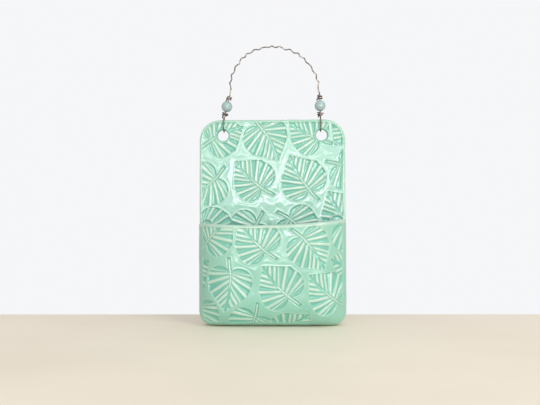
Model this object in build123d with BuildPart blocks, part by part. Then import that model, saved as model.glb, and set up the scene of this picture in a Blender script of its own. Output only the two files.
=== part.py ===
"""Hanging wall vase: a slab-built ceramic wall pocket on a crinkled wire hanger with two stone beads.

Millimetres. The origin is the hang point, the underside of the wire at the arch's crown. +Z is up, -Y
faces the viewer and +X is to the viewer's right. The slab's middle plane is y = 0.
"""

import math
import os

from build123d import *

# Back slab
slab_width = 105.0
slab_height = 147.0
slab_thickness = 6.0
slab_top_corner = 15.0
slab_foot_corner = 11.0
slab_edge_round = 1.5
slab_back_bevel = 1.2

# Hanging holes
hole_diameter = 8.0
hole_spacing = 71.0
hole_drop = 11.2
hole_mouth_bevel = 1.2

# Pocket
pocket_height = 73.0
pocket_depth = 22.0
pocket_wall = 5.0
pocket_floor = 6.0
pocket_edge = 5.0
pocket_side_run = 26.0
pocket_foot_run = 22.0
rim_dip = 1.5
rim_lift = 2.4
rim_round = 2.0

# Pressed leaves
leaf_blade = 27.6
leaf_stem = 10.5
leaf_stem_turn = 15.0
leaf_slot = 3.1
leaf_press = 0.6
slab_leaf_margin = 2.2
pocket_leaf_margin = 3.2
hole_leaf_margin = 2.0

# Places of the leaves: across, height over the foot, direction in degrees and size, from the leaf's base
slab_leaves = [
    (-44.0, 132.5, 22, 0.92),
    (-8.5, 141.5, -62, 1.0),
    (33.0, 132.5, 148, 0.92),
    (-40.8, 105.0, -144, 1.0),
    (-8.0, 98.0, 134, 0.97),
    (26.0, 96.5, 119, 1.03),
    (48.5, 114.5, -27, 1.0),
    (54.5, 72.0, 122, 1.0),
    (-50.5, 70.5, -20, 1.0),
    (-11.5, 72.0, -133, 1.0),
    (12.0, 75.5, -45, 1.0),
]
pocket_leaves = [
    (-46.8, 60.0, 38, 0.95),
    (-5.2, 53.6, 130, 1.0),
    (21.0, 62.0, -54, 0.97),
    (-29.0, 38.6, -99, 1.0),
    (11.0, 22.0, 130, 1.0),
    (45.2, 18.7, 137, 0.97),
    (-12.0, 7.5, -117, 1.0),
    (6.4, -9.8, 45, 1.0),
]

# Hanger wire
wire_diameter = 0.9
wire_sides = 6
hang_drop = 53.6
eye_clearance = 0.25
eye_neck = 0.75
eye_shift = 0.6
eye_corner_count = 6
tail_gap = 0.42
left_lean = 15.0
right_lean = 2.0
kink_count = 32
kink_depth = 0.75
kink_sway = 0.45
kink_bend = 1.1

# Beads
bead_diameter = 8.0
bead_bore = 1.5
bead_clearance = 0.2

# Windings
winding_gap = 0.43
winding_clearance = 0.25
winding_sides = 8
lower_turns = 2.0
upper_turns = 2.25
upper_flare = 0.7
winding_tail = 1.8

# Places worked out from the sizes above
wire_radius = wire_diameter / 2
slab_half = slab_thickness / 2
slab_top = -hang_drop
slab_foot = slab_top - slab_height
half_width = slab_width / 2
hole_radius = hole_diameter / 2
hole_height = slab_top - hole_drop
strip_half = (hole_drop - hole_radius) / 2
eye_height = slab_top - strip_half
hole_sag = hole_radius - math.sqrt(hole_radius**2 - (eye_shift + wire_radius) ** 2)
strip_low = math.hypot(slab_half - hole_mouth_bevel, strip_half + hole_sag)
strip_high = math.hypot(slab_half - slab_edge_round, strip_half - slab_edge_round) + slab_edge_round
strip_back = math.hypot(slab_half - slab_back_bevel, strip_half)
strip_reach = max(strip_low, strip_high, strip_back)
eye_radius = strip_reach + eye_clearance + wire_radius
neck_height = eye_height + eye_radius + eye_neck
tail_offset = wire_diameter + tail_gap
winding_pitch = wire_diameter + winding_gap

# Heights along a leg of the hanger, from the neck of its eye
lower_start = wire_diameter
lower_end = lower_start + lower_turns * winding_pitch
lower_radius = tail_offset / 2 + wire_diameter + winding_clearance
bead_middle = lower_end + wire_radius + bead_clearance + bead_diameter / 2
upper_start = bead_middle + bead_diameter / 2 + bead_clearance + wire_radius
upper_end = upper_start + upper_turns * winding_pitch
upper_radius = wire_diameter + winding_clearance
leg_length = upper_end + wire_diameter


def leg_plane(side, lean):
    """The plane at an eye's neck whose Z runs up the leg, leaning in towards the middle."""
    tilt = math.radians(-side * lean)
    place = (side * (hole_spacing / 2 - eye_shift), 0, neck_height)
    across = (math.cos(tilt), 0, -math.sin(tilt))
    return Plane(origin=place, x_dir=across, z_dir=(math.sin(tilt), 0, math.cos(tilt)))


legs = {"left": leg_plane(-1, left_lean), "right": leg_plane(1, right_lean)}


def bends(points, share=0.45, largest=10.0):
    """A bend radius for each inner corner of a route, within a share of its shorter run."""
    radii = []
    for before, corner, after in zip(points, points[1:], points[2:]):
        run_in = corner - before
        run_out = after - corner
        turn = math.radians(run_in.get_angle(run_out))
        radii.append(min(largest, share * min(run_in.length, run_out.length) / math.tan(turn / 2)))
    return radii


def least_gap(line, diameter, apart):
    """The least gap between parts of one tube that lie over a given length apart along it."""
    count = int(line.length / 0.25)
    points = [line.position_at(k / count) for k in range(count + 1)]
    skip = int(apart / 0.25)
    pairs = ((a, b) for a in range(count + 1) for b in range(a + skip, count + 1))
    return min((points[a] - points[b]).length for a, b in pairs) - diameter


def winding_route(start, turns, foot_radius, head_radius, offset, hand):
    """Corners of a polygon round a helix, with a straight tail at each end."""
    steps = round(turns * winding_sides)
    step = 2 * math.pi / winding_sides
    corner = 1 / math.cos(step / 2)
    points = []
    for k in range(steps + 1):
        radius = corner * (foot_radius + (head_radius - foot_radius) * k / steps)
        angle = hand * step * k
        height = start + winding_pitch * k / winding_sides
        points.append(Vector(-radius * math.cos(angle), offset + radius * math.sin(angle), height))
    first = (points[0] - points[1]).normalized() * winding_tail
    last = (points[-1] - points[-2]).normalized() * winding_tail
    return [points[0] + first] + points[1:-1] + [points[-1] + last]


def eye_route(plane):
    """From the tail's end, down behind the slab, through the hole, up in front and on to the leg's top."""
    centre = plane.origin - Vector(0, 0, eye_radius + eye_neck)
    rise = eye_radius + eye_neck
    front = math.acos(eye_radius / rise)
    back = math.atan2(tail_offset, rise) + math.acos(eye_radius / math.hypot(tail_offset, rise))
    step = (2 * math.pi - front - back) / eye_corner_count
    reach = eye_radius / math.cos(step / 2)
    tail_end = Vector(0, tail_offset, lower_end)
    route = [plane.from_local_coords(tail_end), plane.from_local_coords(Vector(0, tail_offset, 0))]
    for k in range(eye_corner_count):
        angle = back + (k + 0.5) * step
        route.append(centre + Vector(0, reach * math.sin(angle), reach * math.cos(angle)))
    return route + [plane.origin, plane.from_local_coords(Vector(0, 0, leg_length))]


def arch_route(left_foot, right_foot):
    """Corners of the crinkled arch, kinked in and out of a half ellipse by turns."""
    middle = (left_foot.X + right_foot.X) / 2
    half_span = (right_foot.X - left_foot.X) / 2
    foot_height = (left_foot.Z + right_foot.Z) / 2
    rise = wire_radius - kink_depth - foot_height
    route = []
    for k in range(1, kink_count):
        turn = math.pi * k / kink_count
        from_crown = k - kink_count / 2
        kink = kink_depth * (0.75 + 0.25 * math.cos(2.1 * from_crown)) * (1 if from_crown % 2 == 0 else -1)
        across = middle * (1 - math.sin(turn)) - (half_span + kink) * math.cos(turn)
        height = foot_height + (rise + kink) * math.sin(turn)
        route.append(Vector(across, kink_sway * math.sin(2.7 * from_crown), height))
    return route


def belly_section(width, edge, depth, run):
    """A level slice of the pocket: flat in the middle, rounding back to an edge of its own depth."""
    face = -slab_half
    rise = max(depth - edge, 0.2)
    radius = (run**2 + rise**2) / (2 * rise)
    half_turn = math.asin(run / radius) / 2
    bulge = Vector(radius * math.sin(half_turn), radius * (1 - math.cos(half_turn)))
    flat = width - run
    front = face - edge - rise
    with BuildLine() as outline:
        Line((-width, face), (-width, face - edge))
        ThreePointArc((-width, face - edge), (-flat - bulge.X, front + bulge.Y), (-flat, front))
        Line((-flat, front), (flat, front))
        ThreePointArc((flat, front), (flat + bulge.X, front + bulge.Y), (width, face - edge))
        Line((width, face - edge), (width, face))
        Line((width, face), (-width, face))
    make_face(outline.edges())


def slab_outline(inset=0.0):
    """The slab's outline, with its own radius for the top and the foot corners, drawn in by an inset."""
    with Locations((0, (slab_top + slab_foot) / 2)):
        Rectangle(slab_width - 2 * inset, slab_height - 2 * inset)
    corners = vertices().group_by(Axis.Y)
    fillet(corners[-1], slab_top_corner - inset)
    fillet(vertices().group_by(Axis.Y)[0], slab_foot_corner - inset)


def leaf_outline(blade):
    """A fan-shaped leaf along X from its base: two round lobes, a pointed tip and a bent stem."""
    half = [(1.0, 0.0), (0.56, 0.495), (0.42, 0.55), (0.2, 0.586), (-0.01, 0.0)]
    corners = half + [(along, -across) for along, across in reversed(half[1:-1])]
    Polygon(*[(blade * along, blade * across) for along, across in corners], align=None)
    with Locations((0.19 * blade, 0.26 * blade), (0.19 * blade, -0.26 * blade)):
        Circle(0.327 * blade)
    Rectangle(leaf_stem, leaf_slot, rotation=leaf_stem_turn, align=(Align.MAX, Align.CENTER))


def leaf_layout(leaves, field):
    """Leaf outlines in their places, kept within a field."""
    for across, height, turn, size in leaves:
        with BuildSketch(mode=Mode.PRIVATE) as leaf:
            leaf_outline(leaf_blade * size)
        with Locations(Location((across, slab_foot + height, 0), (0, 0, turn))):
            add(leaf.sketch)
    add(field.sketch, mode=Mode.INTERSECT)


os.makedirs("parts", exist_ok=True)

# Back slab
with BuildPart() as back_slab:
    with BuildSketch(Plane.XZ.offset(-slab_half)):
        slab_outline()
        with Locations((-hole_spacing / 2, hole_height), (hole_spacing / 2, hole_height)):
            Circle(hole_radius, mode=Mode.SUBTRACT)
    extrude(amount=slab_thickness)
    flats = back_slab.faces().filter_by(Axis.Y).sort_by(Axis.Y)
    mouths = [wire.edges() for face in flats for wire in face.inner_wires()]
    fillet(flats[0].outer_wire().edges(), slab_edge_round)
    chamfer(back_slab.faces().sort_by(Axis.Y)[-1].outer_wire().edges(), slab_back_bevel)
    chamfer([edge for mouth in mouths for edge in mouth], hole_mouth_bevel)
    with BuildSketch(mode=Mode.PRIVATE) as slab_field:
        slab_outline(slab_leaf_margin)
        with Locations((-hole_spacing / 2, hole_height), (hole_spacing / 2, hole_height)):
            Circle(hole_radius + hole_leaf_margin, mode=Mode.SUBTRACT)
        with Locations((0, slab_foot)):
            Rectangle(slab_width, 2 * (pocket_height + rim_lift), mode=Mode.SUBTRACT)
    with BuildSketch(Plane.XZ.offset(slab_half)):
        leaf_layout(slab_leaves, slab_field)
    extrude(amount=-leaf_press, mode=Mode.SUBTRACT)
back_slab.part.label = "back_slab"
export_step(back_slab.part, "parts/back_slab.step")

# Pocket front
foot_turns = [0, 15, 30, 50, 70, 90]
with BuildPart() as belly:
    for turn in foot_turns:
        height = pocket_foot_run * (1 - math.cos(math.radians(turn)))
        depth = pocket_edge + (pocket_depth - pocket_edge) * math.sin(math.radians(turn))
        with BuildSketch(Plane.XY.offset(slab_foot + height)):
            belly_section(half_width, pocket_edge, depth, pocket_side_run)
    loft()
    with BuildSketch(Plane.XY.offset(slab_foot + pocket_foot_run)):
        belly_section(half_width, pocket_edge, pocket_depth, pocket_side_run)
    extrude(amount=pocket_height + rim_lift - pocket_foot_run)
    with BuildSketch(Plane.XZ):
        slab_outline()
    extrude(amount=2 * (slab_half + pocket_depth), both=True, mode=Mode.INTERSECT)
with BuildPart() as pocket_press:
    with BuildSketch(mode=Mode.PRIVATE) as pocket_field:
        slab_outline(pocket_leaf_margin)
        with Locations((0, slab_foot + pocket_height - rim_dip - rim_round - 0.5)):
            Rectangle(slab_width, slab_height, align=(Align.CENTER, Align.MIN), mode=Mode.SUBTRACT)
    with BuildSketch(Plane.XZ.offset(slab_half)):
        leaf_layout(pocket_leaves, pocket_field)
    extrude(amount=pocket_depth + 1)
    with Locations((0, leaf_press, 0)):
        add(belly.part, mode=Mode.SUBTRACT)
with BuildPart() as pocket_front:
    add(belly.part)
    cavity_rise = pocket_foot_run - pocket_floor
    for turn in foot_turns:
        height = pocket_floor + cavity_rise * (1 - math.cos(math.radians(turn)))
        reach = pocket_depth - pocket_wall - pocket_edge
        depth = pocket_edge + reach * math.sin(math.radians(turn))
        with BuildSketch(Plane.XY.offset(slab_foot + height)):
            belly_section(half_width - pocket_wall, pocket_edge, depth, pocket_side_run - pocket_wall)
    loft(mode=Mode.SUBTRACT)
    with BuildSketch(Plane.XY.offset(slab_foot + pocket_foot_run)):
        inner_run = pocket_side_run - pocket_wall
        belly_section(half_width - pocket_wall, pocket_edge, pocket_depth - pocket_wall, inner_run)
    extrude(amount=pocket_height, mode=Mode.SUBTRACT)
    with BuildSketch(Plane.XZ):
        with BuildLine():
            rim = slab_foot + pocket_height
            ThreePointArc((-half_width, rim), (0, rim - rim_dip), (half_width, rim + rim_lift))
            Polyline((half_width, rim + rim_lift), (-half_width, rim + rim_lift), (-half_width, rim))
        make_face()
    extrude(amount=2 * (slab_half + pocket_depth), mode=Mode.SUBTRACT)
    rim_face = pocket_front.faces().sort_by(Axis.Z)[-1]
    fillet(rim_face.edges().sort_by(Axis.Y)[:-2], rim_round)
    add(pocket_press.part, mode=Mode.SUBTRACT)
pocket_front.part.label = "pocket_front"
export_step(pocket_front.part, "parts/pocket_front.step")

# Hanger wire, one tube from the left tail to the right
left_route = eye_route(legs["left"])
right_route = eye_route(legs["right"])
hanger_route = left_route + arch_route(left_route[-1], right_route[-1]) + right_route[::-1]
arch_first = len(left_route)
arch_last = arch_first + kink_count - 1
hanger_bends = bends(hanger_route)
for k in range(arch_first - 1, arch_last):
    hanger_bends[k] = min(hanger_bends[k], kink_bend)
with BuildPart() as hanger_wire:
    with BuildLine() as hanger_line:
        FilletPolyline(hanger_route, radius=hanger_bends)
    with BuildSketch(Plane(hanger_line.line ^ 0)):
        RegularPolygon(wire_radius, wire_sides)
    sweep()
hanger_wire.part.label = "hanger_wire"
export_step(hanger_wire.part, "parts/hanger_wire.step")
print("hanger_wire least bend", round(min(hanger_bends), 2))
print("hanger_wire least gap to itself", round(least_gap(hanger_line.wire(), wire_diameter, 6), 2))

# Beads
for side, plane in legs.items():
    with BuildPart(Plane(plane.from_local_coords(Vector(0, 0, bead_middle)), z_dir=plane.z_dir)) as bead:
        Sphere(bead_diameter / 2)
        Cylinder(bead_bore / 2, bead_diameter, mode=Mode.SUBTRACT)
    bead.part.label = f"bead_{side}"
    export_step(bead.part, f"parts/bead_{side}.step")

# Windings under and above the beads
for side, plane in legs.items():
    hand = -1 if side == "left" else 1
    lower = winding_route(lower_start, lower_turns, lower_radius, lower_radius, tail_offset / 2, hand)
    upper = winding_route(upper_start, upper_turns, upper_radius + upper_flare, upper_radius, 0, hand)
    for level, local_route in (("lower", lower), ("upper", upper)):
        name = f"{level}_winding_{side}"
        route = [plane.from_local_coords(point) for point in local_route]
        with BuildPart() as winding:
            with BuildLine() as winding_line:
                FilletPolyline(route, radius=bends(route))
            with BuildSketch(Plane(winding_line.line ^ 0)):
                RegularPolygon(wire_radius, wire_sides)
            sweep()
        winding.part.label = name
        export_step(winding.part, f"parts/{name}.step")
        print(name, "least bend", round(min(bends(route)), 2))
        print(name, "least gap to itself", round(least_gap(winding_line.wire(), wire_diameter, 4), 2))
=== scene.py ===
"""Hanging wall vase: the dressed model, built round the packed CAD frame.

Metres. +Z is up, -Y faces the viewer, and the origin is the hang point under the wire's crown.
"""

import math
from bisect import bisect_right

import bmesh
import bpy
from bpy.props import FloatProperty, FloatVectorProperty, IntProperty, PointerProperty
from bpy.types import Operator, Panel, PropertyGroup
from mathutils import Euler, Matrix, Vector
from mathutils.geometry import delaunay_2d_cdt


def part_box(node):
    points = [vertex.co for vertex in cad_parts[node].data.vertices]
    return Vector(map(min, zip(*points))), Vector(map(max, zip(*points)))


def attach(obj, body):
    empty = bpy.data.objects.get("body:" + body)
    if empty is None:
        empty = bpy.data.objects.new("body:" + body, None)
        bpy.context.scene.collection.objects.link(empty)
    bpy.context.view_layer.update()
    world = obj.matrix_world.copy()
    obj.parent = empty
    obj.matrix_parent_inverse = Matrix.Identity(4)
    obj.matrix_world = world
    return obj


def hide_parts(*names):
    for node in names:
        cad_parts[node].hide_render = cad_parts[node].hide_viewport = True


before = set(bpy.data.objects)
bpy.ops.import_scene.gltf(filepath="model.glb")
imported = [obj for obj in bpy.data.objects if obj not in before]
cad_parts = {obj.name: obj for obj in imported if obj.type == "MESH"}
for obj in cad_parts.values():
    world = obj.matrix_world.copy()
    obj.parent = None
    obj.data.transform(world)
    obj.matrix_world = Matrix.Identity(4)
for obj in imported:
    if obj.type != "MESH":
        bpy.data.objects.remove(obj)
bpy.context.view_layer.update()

bl_info = {
    "name": "Hanging Wall Vase",
    "version": (1, 0, 0),
    "blender": (4, 5, 0),
    "location": "3D View > Sidebar > Wall Vase",
    "description": "Builds a leaf-pressed ceramic wall vase on a crinkled wire hanger",
    "category": "Add Mesh",
}

MM = 0.001
slab_low, slab_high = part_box("back_slab")
slab_middle = (slab_low + slab_high) / 2
FOOT = slab_low.z

# Pressed leaves: where a leaf's base lies, across and over the foot in millimetres, then its direction in
# degrees and its size
SLAB_LEAVES = (
    (-44.0, 132.5, 22, 0.92),
    (-8.5, 141.5, -62, 1.0),
    (33.0, 132.5, 148, 0.92),
    (62.5, 149.0, -131, 1.0),
    (-40.8, 105.0, -144, 1.0),
    (-8.0, 98.0, 134, 0.97),
    (26.0, 96.5, 119, 1.03),
    (48.5, 114.5, -27, 1.0),
    (54.5, 72.0, 122, 1.0),
    (-50.5, 70.5, -20, 1.0),
    (-11.5, 72.0, -133, 1.0),
    (12.0, 75.5, -45, 1.0),
)
POCKET_LEAVES = (
    (-46.8, 60.0, 38, 0.95),
    (-5.2, 53.6, 130, 1.0),
    (21.0, 62.0, -54, 0.97),
    (52.0, 72.0, -45, 1.0),
    (67.5, 40.5, 165, 1.0),
    (-69.0, 33.5, 28, 1.0),
    (-29.0, 38.6, -99, 1.0),
    (11.0, 22.0, 130, 1.0),
    (45.2, 18.7, 137, 0.97),
    (-54.5, 14.5, -80, 1.0),
    (-12.0, 7.5, -117, 1.0),
    (6.4, -9.8, 45, 1.0),
)

# The left thumbed seam is this share of the right one
LEFT_SEAM = 0.78

# Windings: start and rise along the leg, turns, and half width and half depth at the first and the last turn
LOWER_WINDING = {
    "start": 0.95 * MM, "rise": 2.5 * MM, "turns": 3.2, "phase": 0.4,
    "wide": (1.25 * MM, 2.1 * MM), "deep": (1.6 * MM, 1.8 * MM),
}
UPPER_WINDING = {
    "start": 12.9 * MM, "rise": 2.8 * MM, "turns": 3.1, "phase": 1.1,
    "wide": (1.75 * MM, 1.15 * MM), "deep": (1.4 * MM, 1.15 * MM),
}

# Studio lights: name, place, width, height, power and tint. All face the middle of the vase
LIGHT_AIM = Vector((0, 0, -0.12))
LIGHTS = (
    ("sky_light", (0.03, -1.5, 0.1), 0.95, 0.60, 7.0, (0.94, 0.88, 1.0)),
    ("window_light", (-0.02, -1.4, 0.0), 0.30, 0.10, 1.5, (1, 1, 1)),
    ("key_light", (0.7, -0.9, 0.6), 0.5, 0.5, 4.6, (1, 1, 1)),
    ("fill_light", (0.55, -1.1, -0.15), 0.5, 0.15, 3.4, (1, 1, 1)),
)
# The place that the camera faces
VIEW_MIDDLE = Vector((-1.8 * MM, 0, -113.2 * MM))


def length(name, description, default):
    """A length property, in metres."""
    return FloatProperty(name=name, description=description, default=default, unit="LENGTH", precision=5)


def angle(name, description, degrees):
    """An angle property, with its default in degrees."""
    return FloatProperty(name=name, description=description, default=math.radians(degrees), subtype="ANGLE")


def share_of(name, description, default):
    """A property that is a share of another size or of full brightness."""
    return FloatProperty(name=name, description=description, default=default, subtype="FACTOR", min=0, max=1)


def colour(name, description, default):
    """A colour property, in linear red, green and blue."""
    return FloatVectorProperty(
        name=name, description=description, default=default, size=3, subtype="COLOR", min=0, max=1
    )


class VaseClaySettings(PropertyGroup):
    """Sizes of the slab and the pocket."""

    width: length("Width", "Across the slab and the pocket", slab_high.x - slab_low.x)
    height: length("Height", "Slab from foot to top", slab_high.z - slab_low.z)
    thickness: length("Thickness", "Thickness of the back slab", slab_high.y - slab_low.y)
    top_corner: length("Top corner", "Radius of the slab's top corners", 15 * MM)
    foot_corner: length("Foot corner", "Radius of the slab's foot corners", 11 * MM)
    edge_round: length("Edge round", "Radius along the slab's edges", 1.5 * MM)
    hole_diameter: length("Hole", "Diameter of the hanging holes", 8 * MM)
    hole_spacing: length("Hole spacing", "Between the middles of the hanging holes", 71 * MM)
    hole_drop: length("Hole drop", "From the slab's top down to the middle of a hole", 11.2 * MM)
    mouth_round: length("Mouth round", "Radius round the mouth of a hole", 1.5 * MM)
    pocket_height: length("Pocket height", "From the foot to the rim's left end", 73 * MM)
    pocket_depth: length("Pocket depth", "From the slab's face to the front of the belly", 22 * MM)
    pocket_wall: length("Pocket wall", "Thickness of the pocket's wall", 5 * MM)
    pocket_floor: length("Pocket floor", "Thickness of the pocket's floor", 6 * MM)
    pocket_edge: length("Pocket edge", "Depth of the pocket's side edge", 5 * MM)
    side_run: length("Side run", "Width of the belly's curve at each side", 26 * MM)
    foot_run: length("Foot run", "Height of the belly's curve at the foot", 22 * MM)
    pocket_round: length("Pocket edge round", "Radius along the pocket's side and foot edges", 2.2 * MM)
    rim_dip: length("Rim dip", "How far the rim's middle lies under its left end", 1.5 * MM)
    rim_lift: length("Rim lift", "How far the rim's right end rises over its left end", 2.4 * MM)
    rim_round: length("Rim round", "Radius along the rim's two edges", 2 * MM)
    seam_width: length("Seam width", "Width of the thumbed seam at the rim's right end", 9.5 * MM)
    seam_height: length("Seam height", "Height of that seam over the rim", 3.6 * MM)
    seam_depth: length("Seam depth", "How deep the seams are thumbed into the slab", 0.7 * MM)
    step: length("Step", "Side of the fine faces that hold the pressed leaves", 0.36 * MM)


class VaseLeafSettings(PropertyGroup):
    """Sizes of the pressed leaf."""

    blade: length("Blade", "Length of the blade, from its base to its tip", 27.6 * MM)
    stem: length("Stem", "Length of the stem", 10.5 * MM)
    slot: length("Slot", "Half the width of the stem's slot", 1.55 * MM)
    depth: length("Depth", "How deep the leaf is pressed into the clay", 0.8 * MM)
    sink: length("Sink", "How far the clay sinks towards the edge of a leaf", 0.25 * MM)
    sink_reach: length("Sink reach", "How far from the leaf's edge the clay starts to sink", 6 * MM)
    wall: length("Wall", "Width of the slope round the pressed leaf", 0.7 * MM)
    lip: length("Lip", "Height of the clay that rises round the leaf", 0.12 * MM)
    vein: length("Vein", "Half the width of a vein", 1.2 * MM)
    vein_rise: share_of("Vein rise", "Height of the veins, as a share of the depth", 0.9)
    unevenness: length("Unevenness", "How far the hand-rolled clay rises and falls", 0.3 * MM)


# Names of the leaf tree's number inputs, each with its setting
LEAF_INPUTS = {key.replace("_", " ").capitalize(): key for key in VaseLeafSettings.__annotations__}


class VaseGlazeSettings(PropertyGroup):
    """Colours of the glaze."""

    body: colour("Glaze", "Glaze on the flat clay", (0.255, 0.495, 0.375))
    # The pooled glaze's colour also paints shade in the hole mouths and the pocket's cavity
    pooled: colour("Pooled glaze", "Thick glaze in the pressed leaves", (0.15, 0.43, 0.325))
    thin: colour("Thin glaze", "Thin glaze on veins and edges", (0.455, 0.6, 0.49))


class VaseWireSettings(PropertyGroup):
    """Sizes and colour of the hanger wire and its windings."""

    diameter: length("Diameter", "Diameter of the wire", 0.9 * MM)
    eye_radius: length("Eye radius", "Radius of the eye through a hole, to the wire's middle", 4.851 * MM)
    eye_neck: length("Eye neck", "From the top of an eye to the foot of its leg", 0.75 * MM)
    eye_shift: length("Eye shift", "How far an eye stands in from the middle of its hole", 0.6 * MM)
    tail: length("Tail", "From the leg to the wire's tail behind it", 1.32 * MM)
    tail_end: length("Tail end", "From an eye's neck to the end of the tail", 3.56 * MM)
    leg: length("Leg", "From an eye's neck to the foot of the arch", 16.75 * MM)
    left_lean: angle("Left lean", "Lean of the left leg", 15)
    right_lean: angle("Right lean", "Lean of the right leg", 2)
    kink_count: IntProperty(name="Kinks", description="Kinks along the arch", default=32)
    kink_depth: length("Kink depth", "How far the kinks reach in and out", 0.75 * MM)
    kink_sway: length("Kink sway", "How far the kinks reach to the front and back", 0.45 * MM)
    kink_bend: length("Kink bend", "Radius of a kink's bend", 0.5 * MM)
    crinkle: length("Crinkle", "Fine unevenness of the crinkled wire", 0.5 * MM)
    sides: IntProperty(name="Sides", description="Sides of the round wire", default=10)
    metal: colour("Metal", "Colour of the wire", (0.33, 0.295, 0.25))


class VaseBeadSettings(PropertyGroup):
    """Sizes and colours of the beads."""

    diameter: length("Diameter", "Diameter of a bead", 8 * MM)
    bore: length("Bore", "Diameter of the hole through a bead", 1.5 * MM)
    stone: colour("Stone", "Main colour of the stone", (0.28, 0.40, 0.375))
    cloud: colour("Cloud", "Pale clouds in the stone", (0.36, 0.465, 0.445))


class VaseStageSettings(PropertyGroup):
    """Floor, lights and camera."""

    floor: colour("Floor", "Colour of the floor", (0.95, 0.85, 0.69))
    lens: FloatProperty(name="Lens", description="Focal length in millimetres", default=50.8)
    distance: length("Distance", "From the camera to the middle of the view", 0.55)
    azimuth: angle("Azimuth", "Camera's turn to the right", 1.5)
    elevation: angle("Elevation", "Camera's rise", -1.2)
    roll: angle("Roll", "Camera's roll", 0.2)
    backdrop: share_of("Backdrop", "Brightness of the backdrop", 0.94)
    surround: share_of("Surround", "Brightness of the soft light from all round", 0.7)


def ramp(value, low, high):
    """0 below low, 1 above high, and smooth between."""
    share = min(max((value - low) / (high - low), 0.0), 1.0)
    return share * share * (3 - 2 * share)


def spread(start, end, count):
    """Evenly spaced numbers from start to end, with both."""
    return [start + (end - start) * k / count for k in range(count + 1)]


class Field:
    """A value in a node tree. Arithmetic on it adds Math nodes."""

    def __init__(self, tree, socket):
        self.tree = tree
        self.socket = socket

    def math(self, operation, *others):
        node = self.tree.nodes.new("ShaderNodeMath")
        node.operation = operation
        for slot, value in zip(node.inputs, (self,) + others):
            plug(self.tree, slot, value)
        return Field(self.tree, node.outputs[0])

    def __add__(self, other):
        return self.math("ADD", other)

    def __sub__(self, other):
        return self.math("SUBTRACT", other)

    def __mul__(self, other):
        return self.math("MULTIPLY", other)

    def __truediv__(self, other):
        return self.math("DIVIDE", other)

    def __rtruediv__(self, other):
        return self.math("POWER", -1.0).math("MULTIPLY", other)

    def __pow__(self, other):
        return self.math("POWER", other)

    def __neg__(self):
        return self.math("MULTIPLY", -1.0)

    def __rsub__(self, other):
        return (-self).math("ADD", other)

    __radd__ = __add__

    def least(self, other):
        return self.math("MINIMUM", other)

    def most(self, other):
        return self.math("MAXIMUM", other)

    def size(self):
        return self.math("ABSOLUTE")

    def ramp(self, low, high):
        """0 below low, 1 above high, and smooth between."""
        node = self.tree.nodes.new("ShaderNodeMapRange")
        node.interpolation_type = "SMOOTHSTEP"
        for slot, value in zip(node.inputs, (self, low, high, 0.0, 1.0)):
            plug(self.tree, slot, value)
        return Field(self.tree, node.outputs[0])


def plug(tree, socket, value):
    """Links a field or an output to a socket, or sets the socket's own value."""
    if isinstance(value, Field):
        value = value.socket
    if isinstance(value, bpy.types.NodeSocket):
        tree.links.new(value, socket)
    else:
        socket.default_value = value


def add_node(tree, kind, sockets=None, **values):
    """Adds a node, sets its options, and fills its input sockets by name."""
    node = tree.nodes.new(kind)
    for name, value in values.items():
        setattr(node, name, value)
    for name, value in (sockets or {}).items():
        plug(tree, node.inputs[name], value)
    return node


def new_tree(name, kind, inputs, outputs):
    """A node group with named sockets. Gives the tree, its input and its output node."""
    tree = bpy.data.node_groups.new(name, kind)
    for socket_name, socket_kind in inputs:
        tree.interface.new_socket(socket_name, in_out="INPUT", socket_type=socket_kind)
    for socket_name, socket_kind in outputs:
        tree.interface.new_socket(socket_name, in_out="OUTPUT", socket_type=socket_kind)
    return tree, tree.nodes.new("NodeGroupInput"), tree.nodes.new("NodeGroupOutput")


def run_tree(obj, tree, values):
    """Runs a geometry tree on an object with named inputs, and keeps the result as a plain mesh."""
    modifier = obj.modifiers.new(tree.name, "NODES")
    modifier.node_group = tree
    for item in tree.interface.items_tree:
        if item.in_out == "INPUT" and item.name in values:
            modifier[item.identifier] = values[item.name]
    depsgraph = bpy.context.evaluated_depsgraph_get()
    mesh = bpy.data.meshes.new_from_object(obj.evaluated_get(depsgraph), depsgraph=depsgraph)
    obj.modifiers.clear()
    base = obj.data
    obj.data = mesh
    mesh.name = obj.name
    bpy.data.meshes.remove(base)


def stored(tree, name, kind="FLOAT"):
    """The output of a named attribute, in a geometry tree."""
    return add_node(tree, "GeometryNodeInputNamedAttribute", {"Name": name}, data_type=kind).outputs[0]


def shift(tree, geometry, vector, reach):
    """Moves points by a vector times their reach, in a geometry tree."""
    offset = add_node(tree, "ShaderNodeVectorMath", {"Vector": vector, "Scale": reach}, operation="SCALE")
    sockets = {"Geometry": geometry, "Offset": offset.outputs[0]}
    return add_node(tree, "GeometryNodeSetPosition", sockets).outputs[0]


def put_out(tree, geometry, material, socket):
    """Shades a geometry smooth, sets its material and links it to the tree's output."""
    smooth = add_node(tree, "GeometryNodeSetShadeSmooth", {"Geometry": geometry})
    real = add_node(tree, "GeometryNodeRealizeInstances", {"Geometry": smooth.outputs[0]})
    painted = add_node(tree, "GeometryNodeSetMaterial", {"Geometry": real.outputs[0], "Material": material})
    plug(tree, socket, painted.outputs[0])


def new_object(name, points, edges, faces, **attributes):
    """A linked mesh object, with float attributes on its points."""
    mesh = bpy.data.meshes.new(name)
    mesh.from_pydata(points, edges, faces)
    for key, values in attributes.items():
        is_vector = isinstance(values[0], (tuple, Vector))
        layer = mesh.attributes.new(key, "FLOAT_VECTOR" if is_vector else "FLOAT", "POINT")
        if is_vector:
            layer.data.foreach_set("vector", [number for value in values for number in value])
        else:
            layer.data.foreach_set("value", values)
    mesh.update()
    obj = bpy.data.objects.new(name, mesh)
    bpy.context.scene.collection.objects.link(obj)
    return obj


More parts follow.
